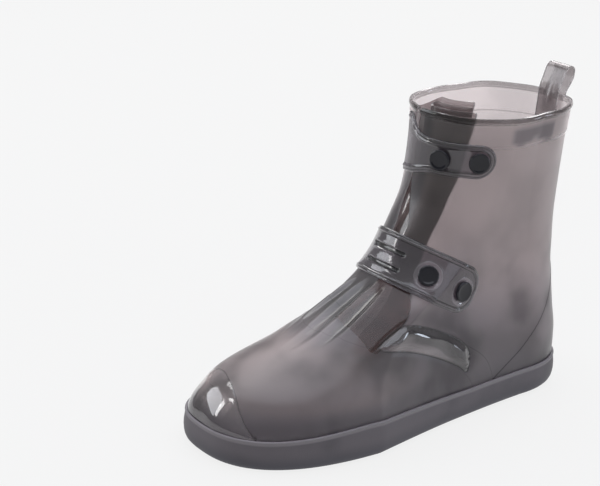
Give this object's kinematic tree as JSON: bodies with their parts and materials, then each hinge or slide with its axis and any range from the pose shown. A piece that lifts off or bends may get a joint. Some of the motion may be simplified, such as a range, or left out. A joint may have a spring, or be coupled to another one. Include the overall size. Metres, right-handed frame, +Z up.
{
  "type": "shoe cover",
  "caption": "Moulded translucent ankle-height rain overshoe with front bellows opening, two snap straps, raised rim band and heel pull tab.",
  "frame": {"origin": "centre of the sole's flat underside, level with the floor", "axes": "+Z up, toe towards -Y and heel towards +Y, outer side of the left foot towards +X"},
  "size_m": [0.1155, 0.295, 0.2281],
  "materials": {
    "sole": "matte",
    "shell": "frosted translucent soft PVC",
    "gusset": "frosted translucent soft PVC",
    "strap": "glossy translucent soft PVC",
    "snap": "gloss",
    "tab": "glossy translucent soft PVC"
  },
  "bodies": {
    "root": {"outsole": "sole", "upper": "shell", "front_gusset": "gusset", "top_strap": "strap", "instep_strap": "strap", "snap_top_front": "snap", "snap_top_rear": "snap", "snap_instep_front": "snap", "snap_instep_rear": "snap", "pull_tab": "tab"}
  },
  "joints": []
}
